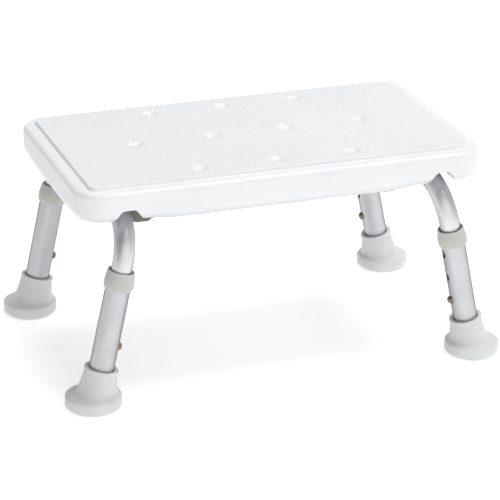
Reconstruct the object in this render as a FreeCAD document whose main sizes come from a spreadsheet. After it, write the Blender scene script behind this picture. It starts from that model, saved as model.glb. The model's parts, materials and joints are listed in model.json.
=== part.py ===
import FreeCAD, Part
import math
import os

import Sketcher

# A height-adjustable shower stool: a hollow moulded seat on two bent tubes, with
# telescopic legs, snap buttons and rubber feet. Millimetres, +Z up. The origin is on
# the floor under the middle of the seat; X runs along the seat, -Y is its front.
SIZES = {
    # seat
    "seat_length": 410,
    "seat_depth": 230,
    "seat_side": 33,           # height of the plain side wall
    "seat_corner": 29,         # plan radius of the four corners
    "seat_wall": 3,            # thickness of the moulded skin
    "seat_top_round": 5,
    "seat_bottom_round": 11,
    "panel_inset": 13,         # width of the smooth rim round the raised panel
    "panel_rise": 3,
    "panel_corner": 9,
    "panel_round": 1,
    "dimple_radius": 8.2,      # at the panel's surface
    "dimple_depth": 2.4,
    "dimple_pitch": 77,        # along X
    "dimple_row": 80,          # front and back rows from the middle row
    "kiss_pitch_x": 45,        # hollow cones that tie the underside to the top skin
    "kiss_pitch_y": 58,
    "kiss_base": 11,
    "kiss_tip": 4,
    "kiss_roof": 7,            # left above a cone's tip
    "vent_radius": 5,
    "vent_head": 2,            # rim of the vent's plug beyond the hole
    "vent_head_thick": 1.2,
    "vent_head_bevel": 0.5,
    "arch_side_gap": 4,        # beside the tubes, where they leave through the arches
    "arch_top_gap": 5,
    "arch_crown": 10.5,
    "arch_flare": 4,
    # bent upper tubes
    "axis_height": 178.5,      # tube axis, level with the underside of the seat
    "lean": 12,                # degrees that the legs splay outwards
    "tube_inset": 47,          # tube axis, in from the end of the seat
    "leg_overhang": 1,         # leg axis, out from the front or back of the seat
    "bend_radius": 40,
    "tube_od": 20,
    "tube_wall": 1.2,
    "tube_end": 40,            # end of the upper tube, along the leg from the floor
    # telescopic lower tubes, measured along the leg from the floor
    "lower_gap": 0.8,          # between the two tubes, on the radius
    "lower_wall": 1.2,
    "lower_foot": 13.5,
    "button_at": 63,
    "hole_pitch": 25.4,
    "hole_count": 3,
    # snap buttons and their springs
    "button_radius": 4,
    "button_out": 3.6,         # how far the button stands out of the lower tube
    "flange_rim": 1,
    "flange_gap": 1.8,         # from the button's flange to the upper tube's bore
    "flange_thick": 1,
    "spring_width": 6,
    "spring_thick": 0.5,
    "spring_arm": 18,          # from the button up to the bend
    # collars
    "collar_drop": 2,          # from the end of the bend down to the collar
    "collar_height": 19.5,
    "collar_cap": 5.5,         # how far the collar rises above the lower tube
    "collar_hem": 0.8,         # flat foot of the collar, before its bevel
    "collar_bevel": 2.4,
    "collar_round": 0.6,
    "collar_low_wall": 2.4,
    "collar_top_wall": 1.4,
    "collar_lip": 1.5,
    "collar_web": 1.2,
    "collar_skirt": 9,
    # end plugs
    "plug_flange": 2,
    "plug_length": 11,
    "plug_bore": 6,
    "plug_round": 0.5,
    # rubber feet
    "foot_ledge": 5.7,         # shoulder of the base, in from its rim
    "foot_skirt": 8.2,         # base beyond the foot of the sleeve
    "foot_rim": 11.5,
    "foot_height": 17,
    "foot_tread": 1.5,         # depth of the grooves in the sole
    "foot_sole_round": 3,
    "foot_draft": 0.5,
    "foot_shoulder_round": 6.5,
    "sleeve_low_wall": 7,
    "sleeve_top_wall": 3.6,
    "sleeve_top": 40.5,
    "sleeve_root": 9.5,        # where the leaning sleeve starts, inside the base
    "sleeve_fillet": 1.5,
    "sleeve_lip": 3.4,         # height of the bead at the sleeve's top
    "sleeve_bead": 0.7,
    "sleeve_bead_bevel": 0.6,
    "sleeve_lip_round": 0.8,
    "sleeve_mouth": 1.2,
    "sleeve_mouth_deep": 2,
    "sleeve_lead_in": 2,
    "washer_thick": 1.5,
    # clamps, knobs and inserts
    "clamp_y": 41,
    "clamp_width": 30,
    "clamp_plate": 5,
    "clamp_saddle": 4,
    "clamp_out": 10,           # beyond the tube, outboard
    "clamp_lug": 12,           # beyond the knob's axis, inboard
    "clamp_round": 2,
    "clamp_corner": 8,
    "tongue_thick": 3,
    "tongue_tall": 5,
    "knob_gap": 0.4,           # from the saddle to the knob's rim
    "knob_radius": 16.5,
    "knob_tall": 14,
    "knob_neck": 3.8,
    "knob_neck_radius": 8,
    "knob_shoulder": 2,
    "knob_crown": 3,
    "knob_scallop": 9,
    "knob_scallop_deep": 1.6,
    "stud_radius": 3,
    "stud_up": 11,
    "stud_tip": 1,
    "stud_floor": 3,           # of the knob, under the stud
    "insert_wall": 1.1,
    "insert_length": 12,
    "post_wall": 3.7,
    # clearances
    "running": 0.1,            # sliding or turning fit, on the radius
    "seating": 0.1,            # pieces fixed to each other, on the radius
    "slack": 0.3,              # loose slots and the like
}
TREADS = ((0.3, 0.4), (0.55, 0.65))          # grooves in the sole, as shares of its radius
LEGS = {"front_left": (-1, -1), "front_right": (1, -1), "back_left": (-1, 1), "back_right": (1, 1)}
SIDES = {"left": -1, "right": 1}
DIMPLE_ROWS = ((-1, 3), (0, 4), (1, 3))      # row number and how many dimples it has
KISS_COLUMNS, KISS_ROWS = (-2, -1, 0, 1, 2), (-1, 0, 1)
KNOB_SCALLOPS = 8

doc = FreeCAD.newDocument("shower_stool")
sheet = doc.addObject("Spreadsheet::Sheet", "Sizes")
for row, (name, value) in enumerate(SIZES.items(), 1):
    sheet.set(f"A{row}", name)
    sheet.set(f"B{row}", str(value))
    sheet.setAlias(f"B{row}", name)
doc.recompute()

nodes = []


def size(formula):
    """A formula in size names, as an expression that the sheet drives."""
    words, word = [], ""
    for letter in formula + " ":
        if letter.isalnum() or letter == "_" or (letter == "." and word):
            word += letter
            continue
        words.append(f"Sizes.{word}" if word in SIZES else word)
        words.append(letter)
        word = ""
    return "".join(words).strip()


def number(formula):
    """The present value of a formula in size names."""
    value = sheet.evalExpression(size(formula))
    return float(getattr(value, "Value", value))


# Heights and places that several pieces share
TOP_X = "(seat_length / 2 - tube_inset)"
FOOT_X = f"({TOP_X} + axis_height * tan(lean * 1deg))"
LEG_Y = "(seat_depth / 2 + leg_overhang)"
LEG_LENGTH = "(axis_height / cos(lean * 1deg))"
RUN_HALF = f"({LEG_Y} - bend_radius)"
TUBE_RADIUS = "(tube_od / 2)"
TUBE_BORE = f"({TUBE_RADIUS} - tube_wall)"
LOWER_BORE = f"({TUBE_RADIUS} + lower_gap)"
LOWER_RADIUS = f"({LOWER_BORE} + lower_wall)"
FOOT_BORE = f"({LOWER_RADIUS} + seating)"
COLLAR_TOP = f"({LEG_LENGTH} - bend_radius - collar_drop)"
LOWER_TOP = f"({COLLAR_TOP} - collar_cap)"
GROOVE_RADIUS = f"({TUBE_RADIUS} + seating)"
SADDLE_RADIUS = f"({GROOVE_RADIUS} + clamp_saddle)"
KNOB_OFFSET = f"({SADDLE_RADIUS} + knob_gap + knob_radius)"
KNOB_X = f"({TOP_X} - {KNOB_OFFSET})"
CLAMP_END = f"({TUBE_RADIUS} + clamp_out)"
TONGUE_X = f"({TOP_X} + {CLAMP_END} - tongue_thick)"
INSERT_BORE = "(stud_radius + running)"
INSERT_RADIUS = f"({INSERT_BORE} + insert_wall)"
HOLE_RADIUS = "(button_radius + running)"
FLANGE_RADIUS = "(button_radius + flange_rim)"
FLANGE_OUT = f"({TUBE_BORE} - flange_gap)"
FLANGE_IN = f"({FLANGE_OUT} - flange_thick)"
SLEEVE_LOW = f"({LOWER_RADIUS} + sleeve_low_wall)"
SLEEVE_TOP = f"({LOWER_RADIUS} + sleeve_top_wall)"
FOOT_RADIUS = f"({SLEEVE_LOW} + foot_skirt)"


def bind(thing, **formulas):
    for path, formula in formulas.items():
        thing.setExpression(path.replace("__", "."), size(formula))


def new_body(name):
    return doc.addObject("PartDesign::Body", name)


def finish(thing, label):
    """Name a finished sub-part; its label is its node's name."""
    thing.Label = label
    nodes.append(thing)
    return thing


def plane(body, role):
    return next(f for f in body.Origin.OriginFeatures if f.Role == role)


def sketch_on(body, role, lift=None, tilt=None):
    """A sketch on one of the body's origin planes, lifted along its normal."""
    sketch = body.newObject("Sketcher::SketchObject", body.Name + "_sketch")
    sketch.AttachmentSupport = [(plane(body, role), "")]
    sketch.MapMode = "FlatFace"
    if lift:
        bind(sketch, AttachmentOffset__Base__z=lift)
    if tilt:
        sketch.AttachmentOffset = FreeCAD.Placement(
            FreeCAD.Vector(), FreeCAD.Rotation(FreeCAD.Vector(0, 0, 1), number(tilt)))
        bind(sketch, AttachmentOffset__Rotation__Angle=tilt)
    return sketch


def hold(sketch, constraint, formula=None):
    """Add a constraint, driven by a formula if one is given."""
    index = sketch.addConstraint(constraint)
    if formula:
        sketch.renameConstraint(index, f"size_{index}")
        sketch.setExpression(f"Constraints.size_{index}", size(formula))


def pin_point(sketch, segment, end, x, y):
    """Hold one point of a segment at (x, y), each a formula."""
    for kind, formula, axis in (("DistanceX", x, -2), ("DistanceY", y, -1)):
        value = number(formula)
        if formula == "0":
            hold(sketch, Sketcher.Constraint("PointOnObject", segment, end, axis))
        else:
            hold(sketch, Sketcher.Constraint(kind, -1, 1, segment, end, value), formula)


def outline(sketch, points, closed=True):
    """A chain of lines and arcs. A point is (x, y), or (x, y, radius) where an arc leads to
    it: a positive radius turns anticlockwise and a negative one clockwise."""
    places = [FreeCAD.Vector(number(p[0]), number(p[1]), 0) for p in points]
    steps = range(1, len(points) + (1 if closed else 0))
    for step in steps:
        start, end = places[step - 1], places[step % len(points)]
        target = points[step % len(points)]
        if len(target) == 2:
            sketch.addGeometry(Part.LineSegment(start, end), False)
            continue
        radius = number(target[2].lstrip("-"))
        turn = -1 if target[2].startswith("-") else 1
        middle, chord = (start + end) / 2, end - start
        side = FreeCAD.Vector(-chord.y, chord.x, 0).normalize()
        away = math.sqrt(max(radius ** 2 - (chord.Length / 2) ** 2, 0))
        centre = middle + side * away * turn
        bulge = centre - side * radius * turn
        sketch.addGeometry(Part.Arc(start, bulge, end), False)
    ends = []
    for step in steps:
        arc = sketch.Geometry[step - 1]
        clockwise = isinstance(arc, Part.ArcOfCircle) and points[step % len(points)][2].startswith("-")
        ends.append((2, 1) if clockwise else (1, 2))
    for step in steps:
        target = points[step % len(points)]
        first = ends[step - 1]
        pin_point(sketch, step - 1, first[0], *points[step - 1][:2])
        if step < len(steps) or closed:
            follower = step % len(steps)
            hold(sketch, Sketcher.Constraint("Coincident", step - 1, first[1], follower, ends[follower][0]))
        else:
            pin_point(sketch, step - 1, first[1], *target[:2])
        if len(target) == 3:
            value = number(target[2].lstrip("-"))
            hold(sketch, Sketcher.Constraint("Radius", step - 1, value), target[2].lstrip("-"))
    return sketch


def circle(sketch, x, y, radius):
    index = sketch.addGeometry(
        Part.Circle(FreeCAD.Vector(number(x), number(y), 0), FreeCAD.Vector(0, 0, 1), number(radius)), False)
    pin_point(sketch, index, 3, x, y)
    hold(sketch, Sketcher.Constraint("Radius", index, number(radius)), radius)
    return sketch


def rounded_rectangle(sketch, half_x, half_y, corner):
    """Corners are tangent arcs of the same radius."""
    inner_x, inner_y = f"({half_x} - {corner})", f"({half_y} - {corner})"
    return outline(sketch, [
        (inner_x, f"-{half_y}"), (half_x, f"-{inner_y}", corner),
        (half_x, inner_y), (inner_x, half_y, corner),
        (f"-{inner_x}", half_y), (f"-{half_x}", inner_y, corner),
        (f"-{half_x}", f"-{inner_y}"), (f"-{inner_x}", f"-{half_y}", corner)])


def add(body, kind, sketch, **settings):
    """Add a feature made from a sketch; text settings are formulas."""
    feature = body.newObject(f"PartDesign::{kind}", f"{body.Name}_{kind}")
    if kind in ("Revolution", "Groove"):
        feature.Profile = sketch
        feature.ReferenceAxis = (sketch, ["V_Axis"])
        feature.Angle = 360
    else:
        feature.Profile = sketch
    for name, value in settings.items():
        if isinstance(value, str) and name in ("Length", "Length2"):
            feature.setExpression(name, size(value))
        else:
            setattr(feature, name, value)
    doc.recompute()
    return feature


def fillet(body, radius, wanted):
    """Round the edges of the body's tip that wanted(edge) picks."""
    base = body.Tip
    names = [f"Edge{n}" for n, edge in enumerate(base.Shape.Edges, 1) if wanted(edge)]
    if not names:
        raise ValueError(f"no edge to round on {body.Name}")
    feature = body.newObject("PartDesign::Fillet", f"{body.Name}_Fillet")
    feature.Base = (base, names)
    feature.setExpression("Radius", size(radius))
    doc.recompute()
    return feature


def flat_at(height):
    """Picks edges that lie wholly at a height."""
    z = number(height)
    return lambda edge: abs(edge.BoundBox.ZMin - z) < 1e-4 and abs(edge.BoundBox.ZMax - z) < 1e-4


def place(thing, x="0", y="0", z="0", turn=0, lean=None):
    """Stand a piece at a point, turned about Z and then leant about Y by a formula."""
    turned = FreeCAD.Rotation(FreeCAD.Vector(0, 0, 1), turn)
    leant = FreeCAD.Rotation(FreeCAD.Vector(0, 1, 0), number(lean) if lean else 0)
    thing.Placement = FreeCAD.Placement(FreeCAD.Vector(), leant.multiply(turned))
    bind(thing, Placement__Base__x=x, Placement__Base__y=y, Placement__Base__z=z)
    return thing


def place_on_leg(thing, side, end):
    """Local Z climbs the leg from the floor and local X points inboard."""
    turn = 0 if side < 0 else 180
    return place(thing, f"{side} * {FOOT_X}", f"{end} * {LEG_Y}", "0", turn, f"{-side} * lean")


def primitive(kind, name, **formulas):
    thing = doc.addObject(f"Part::{kind}", name)
    bind(thing, **formulas)
    return thing


def joined(name, things):
    thing = doc.addObject("Part::MultiFuse", name)
    thing.Shapes = things
    return thing


def cut(name, base, tool):
    thing = doc.addObject("Part::Cut", name)
    thing.Base, thing.Tool = base, tool
    return thing


# ---------------------------------------------------------------- seat
# The seat is built at the height of its underside.
SEAT_TOP = "(seat_side + panel_rise)"
PANEL_X, PANEL_Y = "(seat_length / 2 - panel_inset)", "(seat_depth / 2 - panel_inset)"
SPHERE = "((dimple_radius ^ 2 + dimple_depth ^ 2) / (2 * dimple_depth))"


def plank():
    """The outer form: a slab with a raised panel, arches and tube grooves."""
    body = new_body("seat_plank")
    add(body, "Pad", rounded_rectangle(
        sketch_on(body, "XY_Plane"), "seat_length / 2", "seat_depth / 2", "seat_corner"), Length="seat_side")
    fillet(body, "seat_bottom_round", flat_at("0"))
    fillet(body, "seat_top_round", flat_at("seat_side"))
    add(body, "Pad", rounded_rectangle(
        sketch_on(body, "XY_Plane"), PANEL_X, PANEL_Y, "panel_corner"), Length=SEAT_TOP)
    fillet(body, "panel_round", flat_at(SEAT_TOP))
    return body


def arch_outline(sketch, side, grow):
    """An arch round a tube, open below, its foot flared; grow widens it all round."""
    middle = f"{side} * {TOP_X}"
    half, high = f"({TUBE_RADIUS} + arch_side_gap + {grow})", f"({TUBE_RADIUS} + arch_top_gap + {grow})"
    flare, crown = "arch_flare", f"(arch_crown + {grow})"
    low = "-seat_wall"
    return outline(sketch, [
        (f"{middle} + {half} + {flare}", low), (f"{middle} + {half} + {flare}", "0"),
        (f"{middle} + {half}", flare, f"-{flare}"),
        (f"{middle} + {half}", f"{high} - {crown}"), (f"{middle} + {half} - {crown}", high, crown),
        (f"{middle} - {half} + {crown}", high), (f"{middle} - {half}", f"{high} - {crown}", crown),
        (f"{middle} - {half}", flare),
        (f"{middle} - {half} - {flare}", "0", f"-{flare}"), (f"{middle} - {half} - {flare}", low)])


def arches(grow, name):
    """Solids that cut the four arches, from outside the seat in to the straight runs."""
    pieces = []
    for end in (-1, 1):
        for side in SIDES.values():
            body = new_body(f"{name}_{side + 1}{end + 1}")
            depth = f"(seat_depth / 2 + seat_wall - {RUN_HALF} + {grow})"
            add(body, "Pad", arch_outline(sketch_on(body, "XZ_Plane"), side, grow), Length=depth)
            shift = "seat_depth / 2 + seat_wall"
            place(body, y=f"-{shift} + {depth}" if end < 0 else shift)
            pieces.append(body)
    return pieces


def rods(kind, name, spots, **formulas):
    """One primitive at each spot, its base at the spot's height."""
    pieces = []
    for number_, (x, y, z) in enumerate(spots):
        piece = primitive(kind, f"{name}_{number_}", **formulas)
        bind(piece, Placement__Base__x=x, Placement__Base__y=y, Placement__Base__z=z)
        pieces.append(piece)
    return pieces


def grooves(radius, name):
    """Cylinders along the straight runs of both tubes."""
    pieces = []
    for side in SIDES.values():
        rod = primitive("Cylinder", f"{name}_{side + 1}", Radius=radius, Height=f"2 * {RUN_HALF} + 2 * seat_wall")
        rod.Placement = FreeCAD.Placement(FreeCAD.Vector(), FreeCAD.Rotation(FreeCAD.Vector(1, 0, 0), 90))
        bind(rod, Placement__Base__x=f"{side} * {TOP_X}", Placement__Base__y=f"{RUN_HALF} + seat_wall")
        pieces.append(rod)
    return pieces


def tongue_slots(grow, name):
    """Slots in the underside that the clamps' tongues hook into."""
    pieces = []
    width, thick = f"(clamp_width + 2 * slack + 2 * {grow})", f"(tongue_thick + 2 * slack + 2 * {grow})"
    for label, (side, end) in LEGS.items():
        box = primitive("Box", f"{name}_{label}", Length=thick, Width=width,
                        Height=f"tongue_tall + slack + seat_wall + {grow}")
        bind(box, Placement__Base__x=f"{side} * ({TONGUE_X} + tongue_thick / 2) - {thick} / 2",
             Placement__Base__y=f"{end} * clamp_y - {width} / 2", Placement__Base__z="-seat_wall")
        pieces.append(box)
    return pieces


def dimple_spots(z):
    return [(f"{place_ - (count - 1) / 2} * dimple_pitch", f"{row_} * dimple_row", z)
            for row_, count in DIMPLE_ROWS for place_ in range(count)]


def kiss_spots(z):
    return [(f"{column} * kiss_pitch_x", f"{row_} * kiss_pitch_y", z)
            for column in KISS_COLUMNS for row_ in KISS_ROWS]


def insert_spots(z):
    return [(f"{side} * {KNOB_X}", f"{end} * clamp_y", z) for side, end in LEGS.values()]


def seat():
    outside = joined("seat_cutters", [
        *arches("0", "arch"), *grooves(GROOVE_RADIUS, "groove"), *tongue_slots("0", "slot"),
        *rods("Sphere", "dimple", dimple_spots(f"{SEAT_TOP} - dimple_depth + {SPHERE}"), Radius=SPHERE),
        *rods("Cone", "kiss", kiss_spots("-seat_wall"), Radius1="kiss_base", Radius2="kiss_tip",
              Height=f"{SEAT_TOP} - kiss_roof + seat_wall"),
        *rods("Cylinder", "insert_hole", insert_spots("-seat_wall"), Radius=f"{INSERT_RADIUS} + seating",
              Height="insert_length + slack + seat_wall")])
    shell = cut("seat_form", plank(), outside)
    hollow = new_body("seat_hollow")
    inside = ("seat_length / 2 - seat_wall", "seat_depth / 2 - seat_wall", "(seat_corner - seat_wall)")
    sketch = sketch_on(hollow, "XY_Plane", lift="seat_wall")
    add(hollow, "Pad", rounded_rectangle(sketch, f"({inside[0]})", f"({inside[1]})", inside[2]),
        Length="seat_side - 2 * seat_wall")
    fillet(hollow, "seat_bottom_round - seat_wall", flat_at("seat_wall"))
    fillet(hollow, "seat_top_round - seat_wall", flat_at("seat_side - seat_wall"))
    sketch = sketch_on(hollow, "XY_Plane", lift="seat_wall")
    add(hollow, "Pad", rounded_rectangle(sketch, f"({PANEL_X} - seat_wall)", f"({PANEL_Y} - seat_wall)",
                                         "(panel_corner - seat_wall)"),
        Length=f"{SEAT_TOP} - 2 * seat_wall")
    skins = joined("hollow_cutters", [
        *arches("seat_wall", "arch_skin"), *grooves(f"({GROOVE_RADIUS} + seat_wall)", "groove_skin"),
        *tongue_slots("seat_wall", "slot_skin"),
        *rods("Sphere", "dimple_skin", dimple_spots(f"{SEAT_TOP} - dimple_depth + {SPHERE}"),
              Radius=f"{SPHERE} + seat_wall"),
        *rods("Cone", "kiss_skin", kiss_spots("-seat_wall"), Radius1="kiss_base + seat_wall",
              Radius2="kiss_tip + seat_wall", Height="seat_side + panel_rise"),
        *rods("Cylinder", "post", insert_spots("0"), Radius=f"{INSERT_RADIUS} + seating + post_wall",
              Height=SEAT_TOP)])
    cavity = cut("seat_cavity", hollow, skins)
    vent = primitive("Cylinder", "vent_hole", Radius="vent_radius", Height="3 * seat_wall")
    bind(vent, Placement__Base__y="kiss_pitch_y / 2", Placement__Base__z="-seat_wall")
    moulding = cut("seat", shell, joined("seat_voids", [cavity, vent]))
    return finish(place(moulding, z="axis_height"), "seat")


def vent_plug():
    """A push-in plug that closes the moulding's blow hole."""
    body = new_body("vent_plug")
    head, shank = "(vent_radius + vent_head)", "(vent_radius - seating)"
    add(body, "Revolution", outline(sketch_on(body, "XZ_Plane"), [
        ("0", "-vent_head_thick"), (f"{head} - vent_head_bevel", "-vent_head_thick"),
        (head, "vent_head_bevel - vent_head_thick"), (head, "0"), (shank, "0"), (shank, "seat_wall"),
        ("0", "seat_wall")]))
    return finish(place(body, "0", "kiss_pitch_y / 2", "axis_height"), "vent_plug")


# ---------------------------------------------------------------- bent upper tubes
def upper_tube(label, side):
    """Built upright, its legs pointing down, then leant outwards."""
    body = new_body(f"upper_tube_{label}")
    tip = f"-({LEG_LENGTH} - tube_end)"
    path = outline(sketch_on(body, "YZ_Plane"), [
        (LEG_Y, tip), (LEG_Y, "-bend_radius"), (RUN_HALF, "0", "bend_radius"),
        (f"-{RUN_HALF}", "0"), (f"-{LEG_Y}", "-bend_radius", "bend_radius"), (f"-{LEG_Y}", tip)], closed=False)
    ring = sketch_on(body, "XY_Plane", lift=tip)
    circle(ring, "0", LEG_Y, TUBE_RADIUS)
    circle(ring, "0", LEG_Y, TUBE_BORE)
    pipe = body.newObject("PartDesign::AdditivePipe", f"{body.Name}_Pipe")
    pipe.Profile = ring
    pipe.Spine = path
    doc.recompute()
    holes = sketch_on(body, "YZ_Plane")
    for end in (-1, 1):
        circle(holes, f"{end} * {LEG_Y}", f"-({LEG_LENGTH} - button_at)", HOLE_RADIUS)
    add(body, "Pocket", holes, Length="tube_od", Reversed=True)
    place(body, f"{side} * {TOP_X}", "0", "axis_height", 0 if side < 0 else 180, f"{-side} * lean")
    return finish(body, f"upper_tube_{label}")


# ---------------------------------------------------------------- legs
def lower_tube(label, side, end):
    body = new_body(f"lower_tube_{label}")
    ring = sketch_on(body, "XY_Plane", lift="lower_foot")
    circle(ring, "0", "0", LOWER_RADIUS)
    circle(ring, "0", "0", LOWER_BORE)
    add(body, "Pad", ring, Length=f"{LOWER_TOP} - lower_foot")
    holes = sketch_on(body, "YZ_Plane")
    for step in range(SIZES["hole_count"]):
        circle(holes, "0", f"button_at + {step} * hole_pitch", HOLE_RADIUS)
    add(body, "Pocket", holes, Length=f"2 * {LOWER_RADIUS}", Reversed=True)
    return finish(place_on_leg(body, side, end), f"lower_tube_{label}")


def collar(label, side, end):
    """A cap on the lower tube whose thin skirt guides the upper tube."""
    body = new_body(f"tube_collar_{label}")
    grip, skirt = FOOT_BORE, f"({LOWER_BORE} - seating)"
    wide, narrow = f"({LOWER_RADIUS} + collar_low_wall)", f"({LOWER_RADIUS} + collar_top_wall)"
    guide, mouth = f"({TUBE_RADIUS} + running)", f"({narrow} - collar_lip)"
    shelf, low = f"({LOWER_TOP} + collar_web)", f"({COLLAR_TOP} - collar_height)"
    add(body, "Revolution", outline(sketch_on(body, "XZ_Plane"), [
        (grip, low), (f"{grip} + collar_hem", low), (wide, f"{low} + collar_bevel"),
        (narrow, f"{COLLAR_TOP} - collar_round"), (f"{narrow} - collar_round", COLLAR_TOP, "collar_round"),
        (mouth, COLLAR_TOP), (mouth, shelf),
        (guide, shelf), (guide, f"{LOWER_TOP} - collar_skirt"), (skirt, f"{LOWER_TOP} - collar_skirt"),
        (skirt, LOWER_TOP), (grip, LOWER_TOP)]))
    return finish(place_on_leg(body, side, end), f"tube_collar_{label}")


def end_plug(label, side, end):
    """A flanged plug in the end of the upper tube that glides in the lower tube."""
    body = new_body(f"tube_end_plug_{label}")
    glide, shank = f"({LOWER_BORE} - running)", f"({TUBE_BORE} - seating)"
    add(body, "Revolution", outline(sketch_on(body, "XZ_Plane"), [
        ("plug_bore", "tube_end - plug_flange"), (f"{glide} - plug_round", "tube_end - plug_flange"),
        (glide, "tube_end - plug_flange + plug_round", "plug_round"), (glide, "tube_end"),
        (shank, "tube_end"),
        (shank, "tube_end + plug_length"), ("plug_bore", "tube_end + plug_length")]))
    return finish(place_on_leg(body, side, end), f"tube_end_plug_{label}")


def snap_button(label, side, end):
    """A domed pin with a flange, turned about the line that it is pressed along."""
    body = new_body(f"snap_button_{label}")
    tip = f"({LOWER_RADIUS} + button_out)"
    add(body, "Revolution", outline(sketch_on(body, "XZ_Plane"), [
        ("0", FLANGE_IN), (FLANGE_RADIUS, FLANGE_IN), (FLANGE_RADIUS, FLANGE_OUT),
        ("button_radius", FLANGE_OUT), ("button_radius", f"{tip} - button_radius / 2"),
        ("0", tip, "(1.25 * button_radius)")]))
    return finish(place_on_button_line(body, side, end), f"snap_button_{label}")


def place_on_button_line(thing, side, end):
    """Local Z points inboard, square to the leg, through the snap button."""
    leg = FreeCAD.Rotation(FreeCAD.Vector(0, 1, 0), number("lean") * -side)
    leg = leg.multiply(FreeCAD.Rotation(FreeCAD.Vector(0, 0, 1), 0 if side < 0 else 180))
    turned = leg.multiply(FreeCAD.Rotation(FreeCAD.Vector(0, 1, 0), 90))
    thing.Placement = FreeCAD.Placement(FreeCAD.Vector(), turned)
    bind(thing, Placement__Base__x=f"{side} * ({FOOT_X} - button_at * sin(lean * 1deg))",
         Placement__Base__y=f"{end} * {LEG_Y}", Placement__Base__z="button_at * cos(lean * 1deg)")
    return thing


def button_spring(label, side, end):
    """A bent strip inside the upper tube: one arm carries the button, the other
    presses on the far wall."""
    body = new_body(f"button_spring_{label}")
    near, far = FLANGE_IN, f"(sqrt({TUBE_BORE} ^ 2 - (spring_width / 2) ^ 2) - seating)"
    high, low, out = "(button_at + spring_arm)", f"(button_at - {FLANGE_RADIUS})", f"(({near} + {far}) / 2)"
    middle = f"(({near} - {far}) / 2)"
    strip = outline(sketch_on(body, "XZ_Plane"), [
        (near, low), (near, high), (middle, f"{high} + {out}", out), (f"-{far}", high, out),
        (f"-{far}", low), (f"-{far} + spring_thick", low), (f"-{far} + spring_thick", high),
        (middle, f"{high} + {out} - spring_thick", f"-({out} - spring_thick)"),
        (f"{near} - spring_thick", high, f"-({out} - spring_thick)"), (f"{near} - spring_thick", low)])
    add(body, "Pad", strip, Length="spring_width", Midplane=True)
    return finish(place_on_leg(body, side, end), f"button_spring_{label}")


def foot_washer(label, side, end):
    """A steel disc that keeps the tube's end from cutting through the rubber."""
    body = new_body(f"foot_washer_{label}")
    disc = circle(sketch_on(body, "XY_Plane", lift="lower_foot - washer_thick"), "0", "0", f"{FOOT_BORE} - seating")
    add(body, "Pad", disc, Length="washer_thick")
    return finish(place_on_leg(body, side, end), f"foot_washer_{label}")


def rubber_foot(label, side, end):
    """An upright round base with treads under it, and a sleeve that leans with the leg."""
    body = new_body(f"rubber_foot_{label}")
    treads = []
    for inner, outer in TREADS:
        rings = (f"{inner} * {FOOT_RADIUS}", f"{outer} * {FOOT_RADIUS}")
        treads += [(rings[0], "0"), (rings[0], "foot_tread"), (rings[1], "foot_tread"), (rings[1], "0")]
    base = outline(sketch_on(body, "XZ_Plane"), [
        ("0", "0"), *treads, (f"{FOOT_RADIUS} - foot_sole_round", "0"),
        (FOOT_RADIUS, "foot_sole_round", "foot_sole_round"), (f"{FOOT_RADIUS} - foot_draft", "foot_rim"),
        (f"{FOOT_RADIUS} - foot_ledge", "foot_height", "foot_shoulder_round"), ("0", "foot_height")])
    add(body, "Revolution", base)
    neck, bead = "(sleeve_top - sleeve_lip)", f"({SLEEVE_TOP} + sleeve_bead)"
    sleeve = outline(sketch_on(body, "XZ_Plane", tilt="-lean"), [
        ("0", "sleeve_root"), (SLEEVE_LOW, "sleeve_root"), (SLEEVE_LOW, "foot_height"), (SLEEVE_TOP, neck),
        (bead, f"{neck} + sleeve_bead_bevel"), (bead, "sleeve_top - sleeve_lip_round"),
        (f"{bead} - sleeve_lip_round", "sleeve_top", "sleeve_lip_round"), ("0", "sleeve_top")])
    add(body, "Revolution", sleeve)
    seam = lambda edge: (edge.BoundBox.ZMin > number("foot_height - 1")
                         and edge.BoundBox.ZMax < number("foot_height + 4")
                         and edge.BoundBox.XLength > number(f"1.7 * {SLEEVE_TOP}")
                         and edge.BoundBox.XLength < number(f"2.1 * {SLEEVE_LOW}"))
    fillet(body, "sleeve_fillet", seam)
    mouth, mouth_at, above = f"({FOOT_BORE} + sleeve_mouth)", "(sleeve_top - sleeve_mouth_deep)", "2 * sleeve_top"
    bore = outline(sketch_on(body, "XZ_Plane", tilt="-lean"), [
        ("0", "lower_foot - washer_thick"), (FOOT_BORE, "lower_foot - washer_thick"),
        (FOOT_BORE, f"{mouth_at} - sleeve_lead_in"), (mouth, mouth_at), (mouth, above), ("0", above)])
    add(body, "Groove", bore)
    turn = 0 if side < 0 else 180
    place(body, f"{side} * {FOOT_X}", f"{end} * {LEG_Y}", "0", turn)
    return finish(body, f"rubber_foot_{label}")


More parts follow.
